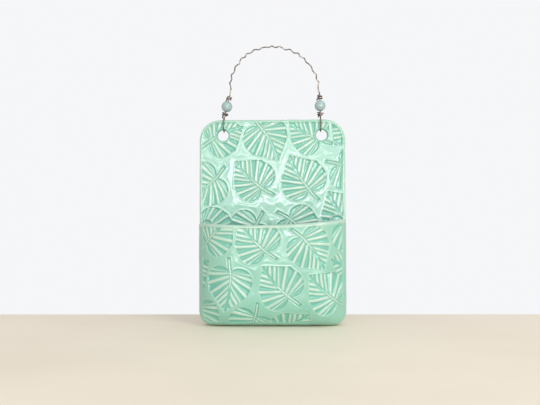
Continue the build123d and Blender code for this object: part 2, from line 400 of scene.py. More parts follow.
def close_shell(obj):
    """Points every face of a closed mesh outwards."""
    work = bmesh.new()
    work.from_mesh(obj.data)
    bmesh.ops.recalc_face_normals(work, faces=work.faces)
    open_edges = sum(not edge.is_manifold for edge in work.edges)
    work.to_mesh(obj.data)
    work.free()
    if open_edges:
        raise RuntimeError(f"{obj.name} has {open_edges} open edges")


def finish_piece(obj, body, nodes):
    """Hands a finished piece to the frame."""
    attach(obj, body)
    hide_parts(*nodes)


class Shell:
    """Points and faces of a clay piece while it is built."""

    def __init__(self):
        self.points = []
        self.faces = []

    def row(self, points):
        """Adds points and gives their numbers."""
        first = len(self.points)
        self.points.extend(points)
        return list(range(first, len(self.points)))

    def strips(self, rows, closed=False):
        """Four-sided faces between neighbouring rows of the same count."""
        for row, other in zip(rows, rows[1:]):
            count = len(row)
            for k in range(count if closed else count - 1):
                n = (k + 1) % count
                self.faces.append((row[k], row[n], other[n], other[k]))

    def fill(self, loops, xs, zs, inside, margin, surface):
        """A fine grid inside closed loops of points, joined to them by a narrow band of triangles.

        inside gives the distance of a place from the loops, above zero within the face.
        """
        kept = [[inside(x, z) > margin for z in zs] for x in xs]
        cells = {
            (i, j)
            for i in range(len(xs) - 1)
            for j in range(len(zs) - 1)
            if kept[i][j] and kept[i + 1][j] and kept[i][j + 1] and kept[i + 1][j + 1]
        }
        index = {}

        def corner(i, j):
            if (i, j) not in index:
                index[i, j] = len(self.points)
                self.points.append(surface(xs[i], zs[j]))
            return index[i, j]

        rim = []
        for i, j in sorted(cells):
            ring = [corner(i, j), corner(i + 1, j), corner(i + 1, j + 1), corner(i, j + 1)]
            self.faces.append(tuple(ring))
            for side, (a, b) in enumerate(((0, -1), (1, 0), (0, 1), (-1, 0))):
                if (i + a, j + b) not in cells:
                    rim.append((ring[side], ring[(side + 1) % 4]))
        edges = rim + [(loop[k - 1], loop[k]) for loop in loops for k in range(len(loop))]
        used = sorted({point for edge in edges for point in edge})
        place = {point: k for k, point in enumerate(used)}
        flat = [Vector((self.points[point].x, self.points[point].z)) for point in used]
        pairs = [(place[a], place[b]) for a, b in edges]
        same_place, outermost = 1e-9, margin / 1000
        result = delaunay_2d_cdt(flat, pairs, [], 0, same_place)
        spots, triangles, origins = result[0], result[2], result[3]
        for triangle in triangles:
            middle = sum((spots[k] for k in triangle), Vector((0, 0))) / 3
            cell = bisect_right(xs, middle.x) - 1, bisect_right(zs, middle.y) - 1
            if cell not in cells and inside(middle.x, middle.y) > outermost:
                self.faces.append(tuple(used[origins[k][0]] for k in triangle))


def outline_room(clay, x, z):
    """How far a place lies inside the slab's outline."""
    corner = clay.top_corner if z > slab_middle.z else clay.foot_corner
    across = abs(x) - clay.width / 2 + corner
    along = abs(z - slab_middle.z) - clay.height / 2 + corner
    outside = math.hypot(max(across, 0), max(along, 0)) + min(max(across, along), 0)
    return corner - outside


def hole_room(clay, x, z):
    """How far a place lies from the nearer hole's wall."""
    height = slab_high.z - clay.hole_drop
    return math.hypot(abs(x) - clay.hole_spacing / 2, z - height) - clay.hole_diameter / 2


def seam_room(clay, x, h):
    """How far a place lies outside the thumbed seam at the nearer end of the rim, as a share of its size."""
    size = 1.0 if x > 0 else LEFT_SEAM
    reach = clay.seam_width / 2 * size
    middle = clay.width / 2 - clay.edge_round - reach
    up = h - rim_height(clay, math.copysign(middle, x))
    return math.hypot((abs(x) - middle) / reach, up / (clay.seam_height * size)) - 1


def outline_ring(clay, inset, y):
    """Points round the slab's outline, drawn in by an inset."""
    half = clay.width / 2
    corners = (
        (half - clay.foot_corner, slab_low.z + clay.foot_corner, clay.foot_corner, -90),
        (half - clay.top_corner, slab_high.z - clay.top_corner, clay.top_corner, 0),
        (-half + clay.top_corner, slab_high.z - clay.top_corner, clay.top_corner, 90),
        (-half + clay.foot_corner, slab_low.z + clay.foot_corner, clay.foot_corner, 180),
    )
    arc_steps, run_steps = 22, (140, 86, 140, 96)
    arcs = []
    for x, z, radius, start in corners:
        turns = [math.radians(degrees) for degrees in spread(start, start + 90, arc_steps)]
        reach = radius - inset
        arcs.append([Vector((x + reach * math.cos(t), y, z + reach * math.sin(t))) for t in turns])
    ring = []
    for k, arc in enumerate(arcs):
        end = arcs[(k + 1) % 4][0]
        ring += arc + [arc[-1].lerp(end, share) for share in spread(0, 1, run_steps[k])[1:-1]]
    return ring


def hole_ring(clay, side, grow, y):
    """Points round a hanging hole."""
    x, z = side * clay.hole_spacing / 2, slab_high.z - clay.hole_drop
    radius = clay.hole_diameter / 2 + grow
    steps = 56
    turns = [2 * math.pi * k / steps for k in range(steps)]
    return [Vector((x + radius * math.cos(t), y, z + radius * math.sin(t))) for t in turns]


def quarter(radius, steps):
    """Inset and drop along a rounded edge, from its wall to its face."""
    turns = [math.pi / 2 * k / steps for k in range(steps + 1)]
    return [(radius * (1 - math.cos(t)), radius * (1 - math.sin(t))) for t in turns]


def slab_shell(clay):
    """The back slab: fine faces on its front, rounded edges, two holes and a plain back."""
    shell = Shell()
    half = clay.thickness / 2
    edge_round, mouth_round = clay.edge_round, clay.mouth_round
    back_steps, front_steps = 4, 6
    coarse_rows, plain_columns, plain_rows = 30, 30, 42
    front_loops, back_loops = [], []
    for ring, radius in (
        (lambda inset, y: outline_ring(clay, inset, y), edge_round),
        (lambda inset, y: hole_ring(clay, -1, inset, y), mouth_round),
        (lambda inset, y: hole_ring(clay, 1, inset, y), mouth_round),
    ):
        back = [shell.row(ring(inset, half - drop)) for inset, drop in reversed(quarter(radius, back_steps))]
        front = [shell.row(ring(inset, drop - half)) for inset, drop in quarter(radius, front_steps)]
        shell.strips(back + front, closed=True)
        front_loops.append(front[-1])
        back_loops.append(back[0])
    seen_behind_rim = 24 * MM
    hidden = slab_low.z + clay.pocket_height - seen_behind_rim
    half_width = clay.width / 2
    xs = spread(-half_width, half_width, round(clay.width / clay.step))
    fine = spread(hidden, slab_high.z, round((slab_high.z - hidden) / clay.step))
    coarse = spread(slab_low.z, hidden, coarse_rows)

    def inside(x, z):
        return min(outline_room(clay, x, z) - edge_round, hole_room(clay, x, z) - mouth_round)

    shell.fill(front_loops, xs, coarse[:-1] + fine, inside, clay.step / 2, lambda x, z: Vector((x, -half, z)))
    plain_xs = spread(-half_width, half_width, plain_columns)
    plain_zs = spread(slab_low.z, slab_high.z, plain_rows)
    shell.fill(back_loops, plain_xs, plain_zs, inside, clay.step, lambda x, z: Vector((x, half, z)))
    return shell


def flat_half(clay):
    """Half the width of the belly's flat middle."""
    return clay.width / 2 - clay.side_run


def quarter_rise(share):
    """Height of a quarter ellipse at a share of its run, as a share of its full height."""
    return math.sqrt(1 - (1 - min(max(share, 0), 1)) ** 2)


def arc_radius(run, fall):
    """Radius of an arc that falls so far over its run from the crown."""
    return (run**2 + fall**2) / (2 * fall)


def arc_fall(run, fall, beyond):
    """How far that arc has fallen at a distance from its crown."""
    radius = arc_radius(run, fall)
    return radius - math.sqrt(max(radius**2 - beyond**2, 0))


def belly(clay, x, h):
    """Depth of the pocket's outer face in front of the slab, at a height over the foot."""
    least_fall = 0.2 * MM
    depth = (clay.pocket_depth - clay.pocket_edge) * quarter_rise(h / clay.foot_run)
    beyond = abs(x) - flat_half(clay)
    if beyond > 0:
        depth -= arc_fall(clay.side_run, max(depth, least_fall), beyond)
    return clay.pocket_edge + depth


def unrolled(clay, x, h):
    """A place on the belly, half way to where it lies on the clay before it is bent."""
    flat = flat_half(clay)
    rise = clay.pocket_depth - clay.pocket_edge
    radius = arc_radius(clay.side_run, rise)
    beyond = min(abs(x) - flat, clay.side_run)
    across = abs(x)
    if beyond > 0:
        across = (across + flat + radius * math.asin(beyond / radius)) / 2
    up = h
    if h < clay.foot_run:
        turn = math.acos(min(max(1 - h / clay.foot_run, 0), 1))
        along = (clay.foot_run + rise) / 2 * (math.pi / 2 - turn)
        up = (h + clay.foot_run - along) / 2
    return Vector((math.copysign(across, x), 0, up))


def rim_height(clay, x):
    """Height of the rim over the foot: it dips in the middle and rises to the right."""
    side = 2 * x / clay.width
    return clay.pocket_height - clay.rim_dip * (1 - side**2) + clay.rim_lift * side * (side + 1) / 2


def pocket_ring(clay, inset):
    """Places along the pocket's outline, down the left side, along the foot and up the right side."""
    half = clay.width / 2
    corner = clay.foot_corner
    side, reach = half - inset, corner - inset
    side_steps, corner_steps, foot_steps = 84, 22, 118

    def bend(middle, start):
        turns = [math.radians(degrees) for degrees in spread(start, start + 90, corner_steps)[1:]]
        return [(middle + reach * math.cos(t), corner + reach * math.sin(t)) for t in turns]

    left_top, right_top = (rim_height(clay, x) - clay.rim_round for x in (-side, side))
    places = [(-side, h) for h in spread(left_top, corner, side_steps)]
    places += bend(corner - half, 180)
    places += [(x, inset) for x in spread(corner - half, half - corner, foot_steps)[1:]]
    places += bend(half - corner, 270)
    return places + [(side, h) for h in spread(corner, right_top, side_steps)[1:]]


def inner_column(clay, x, y):
    """Where the rim's inner edge and the cavity's wall stand behind a point of the outer edge.

    Gives the side, or on the flat middle the place across, then the share of the curve's run and that of the
    side edge.
    """
    flat = flat_half(clay)
    side = math.copysign(1, x)
    face = slab_low.y
    wall_end = face - clay.pocket_edge + clay.pocket_round
    if abs(x) <= flat:
        return x, 0.0, None
    if y > wall_end:
        return side, 1.0, min((face - y) / (face - wall_end), 1.0)
    return side, min((abs(x) - flat) / clay.side_run, 1.0), None


def cavity_point(clay, column, h):
    """A point of the cavity's wall at a height over the foot."""
    side, run_share, edge_share = column
    flat = flat_half(clay)
    run = clay.side_run - clay.pocket_wall
    face = slab_low.y
    least_fall = 0.05 * MM
    if edge_share is not None:
        return Vector((side * (flat + run), face - clay.pocket_edge * max(edge_share, 0), FOOT + h))
    foot_share = (h - clay.pocket_floor) / (clay.foot_run - clay.pocket_floor)
    depth = (clay.pocket_depth - clay.pocket_wall - clay.pocket_edge) * quarter_rise(foot_share)
    x = side
    if run_share:
        depth -= arc_fall(run, max(depth, least_fall), run_share * run)
        x = side * (flat + run_share * run)
    return Vector((x, face - clay.pocket_edge - depth, FOOT + h))


def pocket_shell(clay):
    """The pocket: fine faces on its belly, rounded edges and rim, and the cavity inside."""
    shell = Shell()
    face = slab_low.y
    radius = clay.pocket_round
    half = clay.width / 2
    edge_steps, rim_steps, cavity_rows = 12, 6, 18
    seat, seam, side = face + 0.3 * MM, face - 0.15 * MM, face - 0.7 * MM
    rows = []
    for inset, y in ((0.6 * MM, seat), (0.15 * MM, seam), (0, side)):
        rows.append(shell.row([Vector((x, y, FOOT + h)) for x, h in pocket_ring(clay, inset)]))
    for inset, drop in quarter(radius, edge_steps):
        places = pocket_ring(clay, inset)
        rows.append(shell.row([Vector((x, face - belly(clay, x, h) + drop, FOOT + h)) for x, h in places]))
    shell.strips(rows)

    flat = flat_half(clay)
    rise = clay.pocket_depth - clay.pocket_edge
    curve = arc_radius(clay.side_run, rise)
    turn = math.asin(clay.side_run / curve)
    side_steps = round(curve * turn / clay.step)
    side_xs = [flat + curve * math.sin(turn * k / side_steps) for k in range(1, side_steps + 1)]
    xs = [-x for x in reversed(side_xs)] + spread(-flat, flat, round(2 * flat / clay.step)) + side_xs
    foot_steps = round(math.pi / 4 * (clay.foot_run + rise) / clay.step)
    foot_zs = [FOOT + clay.foot_run * (1 - math.cos(math.pi / 2 * k / foot_steps)) for k in range(foot_steps)]
    rim_top = clay.pocket_height + clay.rim_lift
    upper = rim_top - clay.foot_run
    zs = foot_zs + spread(FOOT + clay.foot_run, FOOT + rim_top, round(upper / clay.step))
    edge_x = half - radius
    rim_xs = [x for x in xs if abs(x) < edge_x - clay.step / 3]

    def belly_point(x, z):
        return Vector((x, face - belly(clay, x, z - FOOT), z))

    top = shell.row([belly_point(x, FOOT + rim_height(clay, x) - clay.rim_round) for x in rim_xs])

    def inside(x, z):
        under_rim = FOOT + rim_height(clay, x) - clay.rim_round - z
        return min(outline_room(clay, x, z) - radius, under_rim)

    shell.fill([rows[-1] + top[::-1]], xs, zs, inside, clay.step / 3, belly_point)

    outer = [row[0] for row in rows] + top + [row[-1] for row in reversed(rows)]
    columns = [inner_column(clay, shell.points[k].x, shell.points[k].y) for k in outer]
    heights = [shell.points[k].z - FOOT for k in outer]
    feet = [(shell.points[k], cavity_point(clay, c, h)) for k, c, h in zip(outer, columns, heights)]

    def rim_row(inset, drop, inner):
        """A row along the rim's rounding, in from its outer or its inner foot."""
        points = []
        for start, end in feet:
            way = (end - start).normalized() * inset
            points.append((end - way if inner else start + way) + Vector((0, 0, clay.rim_round - drop)))
        return shell.row(points)

    arcs = quarter(clay.rim_round, rim_steps)
    rim_rows = [outer]
    rim_rows += [rim_row(inset, drop, False) for inset, drop in arcs[1:]]
    rim_rows += [rim_row(inset, drop, True) for inset, drop in arcs[::-1]]
    for share in spread(0, 1, cavity_rows)[1:]:
        levels = [h + (clay.pocket_floor - h) * share for h in heights]
        rim_rows.append(shell.row([cavity_point(clay, c, h) for c, h in zip(columns, levels)]))
    shell.strips(rim_rows)
    shell.faces.append(tuple(rim_rows[-1]))
    left = [row[0] for row in rim_rows]
    right = [row[-1] for row in rim_rows]
    shell.faces.append(tuple(rows[0]) + tuple(right[1:]) + tuple(left[:0:-1]))
    return shell


def leaf_tree():
    """Presses leaves into clay: each leaf's relief is worked out in a repeat zone and kept on the points."""
    inputs = [("Clay", "NodeSocketGeometry"), ("Leaves", "NodeSocketObject")]
    inputs += [(name, "NodeSocketFloat") for name in LEAF_INPUTS]
    inputs += [("Glaze", "NodeSocketMaterial")]
    outputs = [("Clay", "NodeSocketGeometry")]
    tree, source, result = new_tree("Pressed leaves", "GeometryNodeTree", inputs, outputs)
    size = {name: Field(tree, source.outputs[name]) for name in LEAF_INPUTS}

    def layer(name):
        return Field(tree, stored(tree, name))

    def store(geometry, name, value):
        sockets = {"Geometry": geometry, "Name": name, "Value": value}
        node = add_node(tree, "GeometryNodeStoreNamedAttribute", sockets, data_type="FLOAT", domain="POINT")
        return node.outputs[0]

    def split(vector):
        node = add_node(tree, "ShaderNodeSeparateXYZ", {"Vector": vector})
        return [Field(tree, output) for output in node.outputs]

    def noise(scale, detail):
        place = tree.nodes.new("GeometryNodeInputPosition").outputs[0]
        sockets = {"Vector": place, "Scale": scale, "Detail": detail}
        return Field(tree, add_node(tree, "ShaderNodeTexNoise", sockets).outputs[0]) - 0.5

    places = add_node(tree, "GeometryNodeObjectInfo", {"Object": source.outputs["Leaves"]})
    leaves = places.outputs["Geometry"]
    count = add_node(tree, "GeometryNodeAttributeDomainSize", {"Geometry": leaves}, component="MESH")
    start = store(source.outputs["Clay"], "press", 0.0)
    start = store(start, "ridge", 0.0)
    start = store(start, "near", 1.0)

    repeat_in = tree.nodes.new("GeometryNodeRepeatInput")
    repeat_out = tree.nodes.new("GeometryNodeRepeatOutput")
    repeat_in.pair_with_output(repeat_out)
    plug(tree, repeat_in.inputs["Iterations"], count.outputs["Point Count"])
    plug(tree, repeat_in.inputs["Geometry"], start)

    def of_leaf(value, kind="FLOAT"):
        sockets = {"Geometry": leaves, "Value": value, "Index": repeat_in.outputs["Iteration"]}
        return add_node(tree, "GeometryNodeSampleIndex", sockets, data_type=kind, domain="POINT").outputs[0]

    base = split(of_leaf(tree.nodes.new("GeometryNodeInputPosition").outputs[0], "FLOAT_VECTOR"))
    turn = Field(tree, of_leaf(layer("leaf_turn")))
    blade = Field(tree, of_leaf(layer("leaf_size"))) * size["Blade"]
    cos, sin = turn.math("COSINE"), turn.math("SINE")
    place = split(stored(tree, "clay_place", "FLOAT_VECTOR"))
    unsteady, midrib_bow = 1.0 * MM, 0.2
    across = place[0] - base[0] + noise(90.0, 1.0) * unsteady
    along = place[2] - base[2] + noise(70.0, 1.0) * unsteady
    u = (across * cos + along * sin) / blade
    v = (along * cos - across * sin) / blade
    flank = v.size()
    bowed = (v - u * (1.0 - u) * midrib_bow).size()
    from_midrib = bowed * blade

    def round_part(along_blade, middle, radius):
        """Distance from a round part of the blade, in blade lengths and below zero inside it."""
        return ((along_blade - middle[0]) ** 2.0 + (flank - middle[1]) ** 2.0) ** 0.5 - radius

    # The outline: a lobe beside the stem, a broad shoulder, a pointed tip, and the slot of the stem
    tip_turn, widest, front_start, slot_end = math.radians(48.5), 0.45, 0.1, 0.3
    lobe = round_part(u, (0.19, 0.26), 0.327)
    shoulder = round_part(u.least(widest), (0.22, 0.12), 0.47)
    tip = (u - 1.0) * math.sin(tip_turn) + flank * math.cos(tip_turn)
    front = tip.most(shoulder).most(front_start - u)
    stem = (from_midrib - size["Slot"]).most(-(u * blade) - size["Stem"]).most((u - slot_end) * blade)
    edge = (lobe.least(front) * blade).least(stem)
    inside = 1.0 - edge.ramp(-size["Wall"], 0.0)

    # Veins fan out near the base and run nearly parallel further on
    fan, fan_lean, run, run_lean, change = 3.6, 0.15, 0.35, 1.06, 0.28
    crowding, first_vein = 0.0142, 0.043
    fanned = (u - bowed * fan_lean) / (bowed * fan + 1.0)
    parallel = (u - bowed * run_lean) / (bowed * run + 1.0)
    s = fanned.most(parallel).most(0.001 - first_vein)
    vein = ((s + first_vein) / crowding) ** 0.5
    slope = (s * fan + fan_lean).least(s * run + run_lean)
    opening = fan + s.math("GREATER_THAN", change) * (run - fan)
    pitch = (slope * slope + 1.0) ** 0.5 / (bowed * opening + 1.0) / vein / (2 * crowding) / blade
    from_vein = (vein - vein.math("ROUND")).size() / pitch
    fullest, crown, skirt = 0.38, 0.75 * MM, 0.45 * MM
    half = (fullest / pitch).least(size["Vein"])
    bar = (1.0 - from_vein.ramp(half - crown, half + skirt)) * (vein - 0.5).ramp(0.0, 0.2)
    bar = bar * from_midrib.ramp(0.6 * MM, 1.3 * MM)
    rib = (1.0 - from_midrib.ramp(0.3 * MM, 0.85 * MM)) * (1.0 - u.ramp(0.3, 0.5))
    rib = rib * (u * blade + size["Stem"]).ramp(1.1 * MM, 2.0 * MM)
    raised = bar.most(rib)

    # Between two veins the floor sinks a little further
    outside = 1.0 - inside
    gutter_depth = 0.3
    gutter = from_vein.ramp(half + 0.2 * MM, half + 1.6 * MM) * gutter_depth
    floor = 1.0 - raised * size["Vein rise"] + gutter * (1.0 - raised)
    inner = store(repeat_in.outputs["Geometry"], "press", layer("press") * outside + inside * floor)
    inner = store(inner, "ridge", layer("ridge") * outside + inside * raised)
    inner = store(inner, "near", layer("near").least(edge))
    plug(tree, repeat_out.inputs["Geometry"], inner)

    # The clay round the leaves rises in a lip, and its glaze runs thin there and on bare edges
    room, near = layer("leaf_room"), layer("near")
    lip_start, lip_top, lip_end, bare_lip = -0.5 * MM, 0.15 * MM, 1.2 * MM, 0.6
    pressed = store(repeat_out.outputs["Geometry"], "press", layer("press") * room)
    lip = near.ramp(lip_start, lip_top) * (1.0 - near.ramp(lip_top, lip_end)) * room
    pressed = store(pressed, "ridge", (layer("ridge") * room).most(lip * bare_lip).most(layer("bare_edge")))
    long_wave, short_wave = noise(55.0, 1.0) * 2.0, noise(140.0, 2.0) * 0.8
    wave = long_wave * size["Unevenness"] + short_wave * size["Unevenness"]
    sink = (1.0 - near.ramp(0.0, size["Sink reach"])) * room
    rise = lip * size["Lip"] - sink * size["Sink"] - layer("press") * size["Depth"]
    rise = rise + wave * layer("wave_room")
    normal = tree.nodes.new("GeometryNodeInputNormal").outputs[0]
    moved = shift(tree, pressed, normal, rise)
    # Painted shade: the hole mouths and the pocket's cavity take the pooled glaze's dark colour, and the
    # thumbed seams take it as pooled glaze
    pooled = store(moved, "press", layer("press").most(layer("hollow")))
    put_out(tree, pooled, source.outputs["Glaze"], result.inputs["Clay"])
    return tree


def press_leaves(obj, leaves, material, leaf):
    """Presses a layout of leaves into a clay piece."""
    across, heights, degrees, sizes = zip(*leaves)
    points = [(x * MM, 0, h * MM) for x, h in zip(across, heights)]
    turns = [math.radians(turn) for turn in degrees]
    stamp = new_object("leaf_places", points, [], [], leaf_turn=turns, leaf_size=list(sizes))
    tree = bpy.data.node_groups.get("Pressed leaves") or leaf_tree()
    values = {name: getattr(leaf, key) for name, key in LEAF_INPUTS.items()}
    run_tree(obj, tree, {"Leaves": stamp, "Glaze": material, **values})
    bpy.data.meshes.remove(stamp.data)


def mottling_group():
    """A shader group: soft patches over a surface, for glaze, stone and metal."""
    name = "Soft mottling"
    if name in bpy.data.node_groups:
        return bpy.data.node_groups[name]
    inputs = [(key, "NodeSocketFloat") for key in ("Scale", "Detail", "Low", "High")]
    tree, source, result = new_tree(name, "ShaderNodeTree", inputs, [("Mask", "NodeSocketFloat")])
    place = tree.nodes.new("ShaderNodeTexCoord").outputs["Object"]
    sockets = {"Vector": place, "Scale": source.outputs["Scale"], "Detail": source.outputs["Detail"]}
    noise = Field(tree, add_node(tree, "ShaderNodeTexNoise", sockets).outputs[0])
    plug(tree, result.inputs["Mask"], noise.ramp(source.outputs["Low"], source.outputs["High"]))
    return tree


def patches(tree, scale, detail, low, high):
    """Soft patches in a shader tree, as a mask."""
    sockets = {"Scale": scale, "Detail": detail, "Low": low, "High": high}
    node = add_node(tree, "ShaderNodeGroup", sockets, node_tree=mottling_group())
    return Field(tree, node.outputs["Mask"])


def blend(tree, share, first, second):
    """A colour between two others, in a shader tree.

    A Mix node's sockets share their names among its kinds of data, so they go by number.
    """
    node = add_node(tree, "ShaderNodeMix", data_type="RGBA")
    for slot, value in ((0, share), (6, first), (7, second)):
        plug(tree, node.inputs[slot], value)
    return node.outputs[2]


def glaze_group():
    """A shader group: glaze that pools in the pressed leaves and runs thin on veins and edges. Its pooled
    colour also paints shade in the hole mouths and the pocket's cavity.
    """
    name = "Pooling glaze"
    if name in bpy.data.node_groups:
        return bpy.data.node_groups[name]
    inputs = [(key, "NodeSocketColor") for key in ("Glaze", "Pooled", "Thin")]
    outputs = [("Colour", "NodeSocketColor"), ("Roughness", "NodeSocketFloat"), ("Height", "NodeSocketFloat")]
    tree, source, result = new_tree(name, "ShaderNodeTree", inputs, outputs)

    def attribute(key):
        return Field(tree, add_node(tree, "ShaderNodeAttribute", attribute_name=key).outputs["Fac"])

    drifts = patches(tree, scale=45.0, detail=2.0, low=0.4, high=0.75)
    breaks = patches(tree, scale=160.0, detail=2.0, low=0.2, high=0.7)
    smears = patches(tree, scale=300.0, detail=2.0, low=0.3, high=0.8)
    ripples = patches(tree, scale=500.0, detail=1.0, low=0.0, high=1.0)
    pressed_share, drift_share, least_thin, break_share = 0.85, 0.3, 0.6, 0.35
    least_rough, smear_share = 0.1, 0.08
    # Pooled glaze in the pressed leaves, and painted shade where press holds the hole-mouth and cavity
    # darkening
    pool_and_shade = attribute("press").ramp(0.1, 0.95) * pressed_share + drifts * drift_share
    body = blend(tree, pool_and_shade.least(1.0), source.outputs["Glaze"], source.outputs["Pooled"])
    thin = attribute("ridge").ramp(0.25, 0.95) * (breaks * break_share + least_thin)
    plug(tree, result.inputs["Colour"], blend(tree, thin, body, source.outputs["Thin"]))
    plug(tree, result.inputs["Roughness"], smears * smear_share + least_rough)
    plug(tree, result.inputs["Height"], ripples)
    return tree


def principled(name):
    """A new material with its tree and its Principled shader."""
    material = bpy.data.materials.new(name)
    material.use_nodes = True
    return material, material.node_tree, material.node_tree.nodes["Principled BSDF"]


def bump(tree, shader, height, strength, distance):
    """Feeds a height into the shader's normal."""
    node = add_node(tree, "ShaderNodeBump", {"Height": height, "Strength": strength, "Distance": distance})
    plug(tree, shader.inputs["Normal"], node.outputs[0])


def glaze_material(name, glaze):
    """Glossy celadon glaze over pressed clay."""
    material, tree, shader = principled(name)
    group = add_node(tree, "ShaderNodeGroup", node_tree=glaze_group())
    for key, value in (("Glaze", glaze.body), ("Pooled", glaze.pooled), ("Thin", glaze.thin)):
        group.inputs[key].default_value = (*value, 1)
    plug(tree, shader.inputs["Base Color"], group.outputs["Colour"])
    plug(tree, shader.inputs["Roughness"], group.outputs["Roughness"])
    shader.inputs["IOR"].default_value = 1.52
    bump(tree, shader, group.outputs["Height"], strength=0.12, distance=0.15 * MM)
    return material


def mottled_material(name, main, other, scale, low, high, rough, metallic=0.0):
    """Two colours in soft patches, with roughness that follows them."""
    material, tree, shader = principled(name)
    mask = patches(tree, scale, detail=3.0, low=low, high=high)
    plug(tree, shader.inputs["Base Color"], blend(tree, mask, (*main, 1), (*other, 1)))
    plug(tree, shader.inputs["Roughness"], mask * (rough[1] - rough[0]) + rough[0])
    shader.inputs["Metallic"].default_value = metallic
    return material


def wire_tree():
    """A round wire along a route of corners, each rounded by its own bend, with fine crinkles."""
    inputs = [("Route", "NodeSocketGeometry")]
    inputs += [(name, "NodeSocketFloat") for name in ("Diameter", "Crinkle")]
    inputs += [("Sides", "NodeSocketInt"), ("Metal", "NodeSocketMaterial")]
    outputs = [("Wire", "NodeSocketGeometry")]
    tree, source, result = new_tree("Round wire", "GeometryNodeTree", inputs, outputs)
    bend_points, spacing, crinkle_scale = 6, 0.35 * MM, 420.0

    def step(kind, sockets, **values):
        return add_node(tree, kind, sockets, **values).outputs[0]

    curve = step("GeometryNodeMeshToCurve", {"Mesh": source.outputs["Route"]})
    sockets = {"Curve": curve, "Count": bend_points, "Radius": stored(tree, "bend"), "Limit Radius": True}
    curve = step("GeometryNodeFilletCurve", sockets, mode="POLY")
    curve = step("GeometryNodeResampleCurve", {"Curve": curve, "Length": spacing}, mode="LENGTH")
    place = tree.nodes.new("GeometryNodeInputPosition").outputs[0]
    noise = add_node(tree, "ShaderNodeTexNoise", {"Vector": place, "Scale": crinkle_scale, "Detail": 1.0})
    middle = add_node(tree, "ShaderNodeVectorMath", operation="SUBTRACT")
    plug(tree, middle.inputs[0], noise.outputs["Color"])
    middle.inputs[1].default_value = (0.5, 0.5, 0.5)
    reach = Field(tree, stored(tree, "free")) * Field(tree, source.outputs["Crinkle"]) * 2.0
    curve = shift(tree, curve, middle.outputs[0], reach)
    radius = Field(tree, source.outputs["Diameter"]) / 2.0
    sockets = {"Resolution": source.outputs["Sides"], "Radius": radius}
    circle = step("GeometryNodeCurvePrimitiveCircle", sockets)
    mesh = step("GeometryNodeCurveToMesh", {"Curve": curve, "Profile Curve": circle, "Fill Caps": True})
    put_out(tree, mesh, source.outputs["Metal"], result.inputs["Wire"])
    return tree


class Leg:
    """One leg of the hanger: the neck of its eye, and the directions across and up it."""

    def __init__(self, clay, wire, side):
        self.side = side
        self.eye = slab_high.z - (clay.hole_drop - clay.hole_diameter / 2) / 2
        tilt = -side * (wire.left_lean if side < 0 else wire.right_lean)
        height = self.eye + wire.eye_radius + wire.eye_neck
        self.neck = Vector((side * (clay.hole_spacing / 2 - wire.eye_shift), 0, height))
        self.across = Vector((math.cos(tilt), 0, -math.sin(tilt)))
        self.up = Vector((math.sin(tilt), 0, math.cos(tilt)))

    def point(self, across, depth, along):
        """A place beside the leg, behind it and along it from the neck."""
        return self.neck + self.across * across + Vector((0, depth, 0)) + self.up * along


def eye_route(leg, wire):
    """From the tail's end down behind the slab, through the hole, up in front and on to the leg's top."""
    radius, rise = wire.eye_radius, wire.eye_radius + wire.eye_neck
    front = math.acos(radius / rise)
    back = math.atan2(wire.tail, rise) + math.acos(radius / math.hypot(wire.tail, rise))
    eye_steps = 28
    route = [leg.point(0, wire.tail, wire.tail_end), leg.point(0, wire.tail, 0)]
    for turn in spread(back, 2 * math.pi - front, eye_steps):
        route.append(Vector((leg.neck.x, radius * math.sin(turn), leg.eye + radius * math.cos(turn))))
    return route + [leg.neck, leg.point(0, 0, wire.leg)]


def arch_route(left, right, wire):
    """Corners of the crinkled arch, kinked in and out of a full half ellipse by turns."""
    middle = (left.x + right.x) / 2
    half_span = (right.x - left.x) / 2
    foot = (left.z + right.z) / 2
    rise = wire.diameter / 2 - wire.kink_depth - foot
    fullness, stray, shallow = 0.9, 0.22, 0.15
    stray_rate, depth_rate, sway_rate = 5.3, 2.1, 2.7
    route = []
    for k in range(1, wire.kink_count):
        place = k - wire.kink_count / 2
        turn = math.pi * (k + stray * math.sin(stray_rate * place)) / wire.kink_count
        depth = wire.kink_depth * (1 - shallow + shallow * math.cos(depth_rate * place))
        kink = depth if place % 2 == 0 else -depth
        across = middle * (1 - math.sin(turn)) - (half_span + kink) * math.cos(turn)
        height = foot + (rise + kink) * math.sin(turn) ** fullness
        route.append(Vector((across, wire.kink_sway * math.sin(sway_rate * place), height)))
    return route


def winding_route(leg, offset, start, rise, turns, phase, wide, deep):
    """A hand-wound coil: up the leg and part of the way back over itself, with an end poking out each way.

    offset is how far behind the leg its middle lies.
    """
    phase *= leg.side
    turn_points, climb_share, fall_back = 24, 0.62, 0.7
    wobble_size, wobble_rate, bob = 0.06, 1.63, 0.2 * MM
    first_end, last_end = 1.6 * MM, 1.9 * MM
    count = round(turns * turn_points)
    points = []
    for k in range(count + 1):
        share = k / count
        turn = 2 * math.pi * turns * share
        climb = share / climb_share
        if share >= climb_share:
            climb = 1 - fall_back * (share - climb_share) / (1 - climb_share)
        grow = ramp(share, 0.35, 0.75)
        wobble = 1 + wobble_size * math.sin(wobble_rate * turn + phase)
        across = -(wide[0] + (wide[1] - wide[0]) * grow) * wobble * math.cos(turn)
        depth = offset + (deep[0] + (deep[1] - deep[0]) * grow) * wobble * math.sin(leg.side * turn)
        along = start + rise * climb + bob * math.sin(turn + phase)
        points.append(leg.point(across, depth, along))
    first = (points[0] - points[2]).normalized()
    last = (points[-1] - points[-3]).normalized()
    lift = leg.up / 2
    return [points[0] + (first - lift) * first_end] + points + [points[-1] + (last + lift) * last_end]


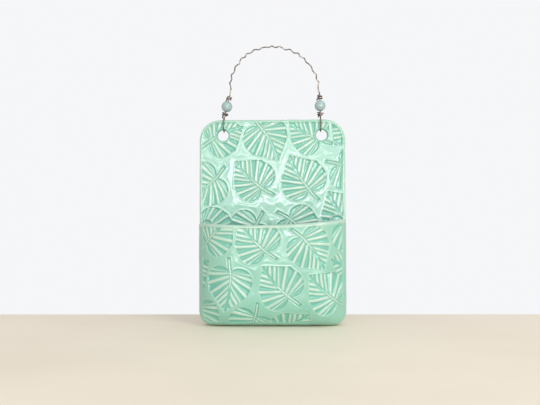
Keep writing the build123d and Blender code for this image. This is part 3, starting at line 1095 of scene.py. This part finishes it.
def make_wire(name, node, route, bend, free, wire):
    """A wire object along a route of corners in metres."""
    edges = [(k, k + 1) for k in range(len(route) - 1)]
    obj = new_object(name, route, edges, [], bend=bend, free=free)
    material = bpy.data.materials.get("tarnished_wire")
    if material is None:
        tarnish = [channel * 0.4 for channel in wire.metal]
        material = mottled_material(
            "tarnished_wire", wire.metal, tarnish,
            scale=420.0, low=0.42, high=0.62, rough=(0.24, 0.45), metallic=1.0,
        )
    tree = bpy.data.node_groups.get("Round wire") or wire_tree()
    values = {"Diameter": wire.diameter, "Crinkle": wire.crinkle, "Sides": wire.sides, "Metal": material}
    run_tree(obj, tree, values)
    close_shell(obj)
    finish_piece(obj, "hanger", [node])


def bead_shell(middle, leg, bead):
    """A bored round bead, a little uneven, closed through its bore."""
    shell = Shell()
    radius, bore = bead.diameter / 2, bead.bore / 2
    mouth = math.asin(bore / radius)
    forward = leg.across.cross(leg.up)
    ring_count, row_count, uneven = 72, 44, 0.006
    rows = []
    for polar in spread(mouth, math.pi - mouth, row_count):
        points = []
        for k in range(ring_count):
            turn = 2 * math.pi * k / ring_count
            swell = 1 - uneven * (1 + math.sin(2 * turn + 1.3) * math.sin(polar) ** 2)
            reach = radius * swell * math.sin(polar)
            way = leg.across * math.cos(turn) + forward * math.sin(turn)
            points.append(middle + way * reach + leg.up * (radius * swell * math.cos(polar)))
        rows.append(shell.row(points))
    shell.strips(rows + rows[:1], closed=True)
    return shell


# Where leaves may be pressed, how uneven the clay is, bare edges, painted shade in the hole mouths and the
# pocket's cavity with pooled glaze in the thumbed seams, and the place on the flat clay
CLAY_LAYERS = ("leaf_room", "wave_room", "bare_edge", "hollow", "clay_place")


def slab_layers(clay, point):
    """Layers of a point of the slab, in the order of CLAY_LAYERS. In a thumbed seam the point also sinks."""
    bare_side, bare_lip, back_wave, lip_rise = 0.75, 0.9, 0.3, 0.4
    side = outline_room(clay, point.x, point.z)
    mouth = hole_room(clay, point.x, point.z)
    place = point.x, 0.0, point.z - FOOT
    wave = ramp(mouth, 4 * MM, 12 * MM)
    edge = bare_side * (1 - ramp(side, 0.3 * MM, 2.4 * MM))
    # Painted shade: the glaze darkens towards each hole's mouth, on the front and the back
    hollow = 1 - ramp(mouth, 0.3 * MM, 1.5 * MM)
    if point.y >= 0:
        return 0.0, back_wave * wave, edge, hollow, place
    seam = seam_room(clay, point.x, point.z - FOOT)
    # The thumbed seam takes the same dark colour as pooled glaze
    thumbed = 1 - ramp(seam, -0.35, 0.0)
    lip = ramp(seam, -0.15, 0.05) * (1 - ramp(seam, 0.1, 0.35))
    room = ramp(side, 1.2 * MM, 3.2 * MM) * ramp(mouth, 0.8 * MM, 2.4 * MM) * ramp(seam, 0.0, 0.3)
    point.y += (thumbed - lip_rise * lip) * clay.seam_depth
    return room, wave, max(edge, bare_lip * lip), max(hollow, thumbed), place


def pocket_layers(clay, point):
    """Layers of a point of the pocket, in the order of CLAY_LAYERS."""
    bare_rim, bare_side, cavity_shade = 0.8, 0.8, 0.8
    skin, outer_edge = 2.5 * MM, 0.4 * MM
    face = slab_low.y
    h = point.z - FOOT
    side = outline_room(clay, point.x, point.z)
    under = rim_height(clay, point.x) - h
    wave = ramp(face - point.y, 0.5 * MM, 4 * MM)
    rim = 1 - ramp(under, 1.5 * MM, 4.4 * MM)
    edge = max(rim, bare_side * (1 - ramp(side, 0.3 * MM, 2.6 * MM))) * bare_rim
    room = hollow = 0.0
    if point.y < face - belly(clay, point.x, h) + skin and side > outer_edge:
        room = ramp(side, 2.0 * MM, 4.2 * MM) * ramp(under, 1.6 * MM, 3.0 * MM)
    else:
        # Painted shade: the cavity's wall and floor darken further below the rim
        hollow = cavity_shade * ramp(under, 2 * MM, 12 * MM) * ramp(side, 2 * MM, 5 * MM)
    return room, wave, edge, hollow, unrolled(clay, point.x, h)


def make_clay(scene, name, shell, layers, leaves, glaze_name):
    """A clay piece from its shell, with its leaves pressed and its glaze on."""
    rows = [layers(scene.vase_clay, point) for point in shell.points]
    columns = {key: list(values) for key, values in zip(CLAY_LAYERS, zip(*rows))}
    obj = new_object(name, shell.points, [], shell.faces, **columns)
    close_shell(obj)
    press_leaves(obj, leaves, glaze_material(glaze_name, scene.vase_glaze), scene.vase_leaf)
    return obj


class VASE_OT_back_slab(Operator):
    """Builds the back slab with its two holes and pressed leaves"""

    bl_idname = "vase.back_slab"
    bl_label = "Back Slab"

    def execute(self, context):
        scene = context.scene
        shell = slab_shell(scene.vase_clay)
        obj = make_clay(scene, "glazed_back_slab", shell, slab_layers, SLAB_LEAVES, "slab_glaze")
        finish_piece(obj, "vase", ["back_slab"])
        return {"FINISHED"}


class VASE_OT_pocket_front(Operator):
    """Builds the bowed pocket front with its rim, cavity and pressed leaves"""

    bl_idname = "vase.pocket_front"
    bl_label = "Pocket Front"

    def execute(self, context):
        scene = context.scene
        shell = pocket_shell(scene.vase_clay)
        obj = make_clay(scene, "glazed_pocket_front", shell, pocket_layers, POCKET_LEAVES, "pocket_glaze")
        finish_piece(obj, "vase", ["pocket_front"])
        return {"FINISHED"}


class VASE_OT_hanger_wire(Operator):
    """Builds the crinkled wire with its arch, eyes and tails"""

    bl_idname = "vase.hanger_wire"
    bl_label = "Hanger Wire"

    def execute(self, context):
        clay, wire = context.scene.vase_clay, context.scene.vase_wire
        left = eye_route(Leg(clay, wire, -1), wire)
        right = eye_route(Leg(clay, wire, 1), wire)
        arch = arch_route(left[-1], right[-1], wire)
        route = left + arch + right[::-1]
        leg_bend = 0.6 * MM
        bend = [leg_bend] * len(left) + [wire.kink_bend] * len(arch) + [leg_bend] * len(right)
        free = [0.0] * len(left) + [1.0] * len(arch) + [0.0] * len(right)
        make_wire("crinkled_hanger_wire", "hanger_wire", route, bend, free, wire)
        return {"FINISHED"}


class VASE_OT_windings(Operator):
    """Builds the four hand-wound coils under and above the beads"""

    bl_idname = "vase.windings"
    bl_label = "Windings"

    def execute(self, context):
        clay, wire = context.scene.vase_clay, context.scene.vase_wire
        for side, label in ((-1, "left"), (1, "right")):
            leg = Leg(clay, wire, side)
            lower = winding_route(leg, wire.tail / 2, **LOWER_WINDING)
            upper = winding_route(leg, 0.0, **UPPER_WINDING)
            for level, route in (("lower", lower), ("upper", upper)):
                node = f"{level}_winding_{label}"
                plain = [0.0] * len(route)
                make_wire(f"wound_{node}", node, route, plain, plain, wire)
        return {"FINISHED"}


class VASE_OT_beads(Operator):
    """Builds the two bored stone beads"""

    bl_idname = "vase.beads"
    bl_label = "Beads"

    def execute(self, context):
        scene = context.scene
        bead = scene.vase_bead
        stone = mottled_material(
            "cloudy_stone", bead.stone, bead.cloud, scale=180.0, low=0.3, high=0.75, rough=(0.07, 0.14)
        )
        for side, node in ((-1, "bead_left"), (1, "bead_right")):
            low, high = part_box(node)
            shell = bead_shell((low + high) / 2, Leg(scene.vase_clay, scene.vase_wire, side), bead)
            obj = new_object(f"stone_{node}", shell.points, [], shell.faces)
            close_shell(obj)
            obj.data.materials.append(stone)
            obj.data.shade_smooth()
            finish_piece(obj, node, [node])
        return {"FINISHED"}


class VASE_OT_stage(Operator):
    """Sets the floor, the lights and the camera"""

    bl_idname = "vase.stage"
    bl_label = "Stage"

    def execute(self, context):
        scene = context.scene
        stage = scene.vase_stage
        scene.view_settings.view_transform = "Standard"
        side, back_edge = 1.6, 0.055
        corners = (-side, -side), (side, -side), (side, back_edge), (-side, back_edge)
        floor = new_object("stage_floor", [(x, y, FOOT) for x, y in corners], [], [(0, 1, 2, 3)])
        warm = [channel * 0.93 for channel in stage.floor]
        paint = mottled_material(
            "pale_floor", stage.floor, warm, scale=6.0, low=0.3, high=0.7, rough=(0.5, 0.6)
        )
        floor.data.materials.append(paint)

        world = bpy.data.worlds.new("studio")
        world.use_nodes = True
        tree = world.node_tree
        background = tree.nodes["Background"]
        background.inputs["Color"].default_value = (0.98, 0.985, 1.0, 1)
        seen = Field(tree, tree.nodes.new("ShaderNodeLightPath").outputs["Is Camera Ray"])
        strength = seen * (stage.backdrop - stage.surround) + stage.surround
        plug(tree, background.inputs["Strength"], strength)
        scene.world = world

        for name, place, width, height, power, tint in LIGHTS:
            light = bpy.data.lights.new(name, "AREA")
            light.shape = "RECTANGLE"
            light.size, light.size_y, light.energy = width, height, power
            light.color = tint
            obj = bpy.data.objects.new(name, light)
            obj.location = place
            obj.rotation_euler = (LIGHT_AIM - Vector(place)).to_track_quat("-Z", "Y").to_euler()
            obj.visible_camera = False
            scene.collection.objects.link(obj)

        camera = bpy.data.objects.new("camera", bpy.data.cameras.new("camera"))
        camera.data.lens = stage.lens
        camera.data.sensor_width = 36
        camera.data.clip_start = 0.01
        across, up = stage.azimuth, stage.elevation
        flat = math.cos(up)
        back = Vector((math.sin(across) * flat, -math.cos(across) * flat, math.sin(up)))
        camera.location = VIEW_MIDDLE + back * stage.distance
        turn = (-back).to_track_quat("-Z", "Y") @ Euler((0, 0, -stage.roll)).to_quaternion()
        camera.rotation_euler = turn.to_euler()
        scene.collection.objects.link(camera)
        scene.camera = camera
        return {"FINISHED"}


class VASE_PT_parts(Panel):
    """Lists the vase's pieces"""

    bl_idname = "VASE_PT_parts"
    bl_label = "Wall Vase"
    bl_space_type = "VIEW_3D"
    bl_region_type = "UI"
    bl_category = "Wall Vase"

    def draw(self, context):
        for name in STEPS:
            self.layout.operator(f"vase.{name}")
        for key, kind in SETTINGS.items():
            box = self.layout.box()
            box.label(text=kind.__doc__)
            for name in kind.__annotations__:
                box.prop(getattr(context.scene, key), name)


SETTINGS = {
    "vase_clay": VaseClaySettings,
    "vase_leaf": VaseLeafSettings,
    "vase_glaze": VaseGlazeSettings,
    "vase_wire": VaseWireSettings,
    "vase_bead": VaseBeadSettings,
    "vase_stage": VaseStageSettings,
}
STEPS = ("back_slab", "pocket_front", "hanger_wire", "windings", "beads", "stage")
OPERATORS = (
    VASE_OT_back_slab,
    VASE_OT_pocket_front,
    VASE_OT_hanger_wire,
    VASE_OT_windings,
    VASE_OT_beads,
    VASE_OT_stage,
)


def register():
    for kind in (*SETTINGS.values(), *OPERATORS, VASE_PT_parts):
        bpy.utils.register_class(kind)
    for key, kind in SETTINGS.items():
        setattr(bpy.types.Scene, key, PointerProperty(type=kind))


def unregister():
    for key in SETTINGS:
        delattr(bpy.types.Scene, key)
    for kind in (VASE_PT_parts, *reversed(OPERATORS), *reversed(SETTINGS.values())):
        bpy.utils.unregister_class(kind)


def main():
    register()
    for name in STEPS:
        getattr(bpy.ops.vase, name)()
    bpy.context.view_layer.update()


if __name__ == "__main__":
    main()
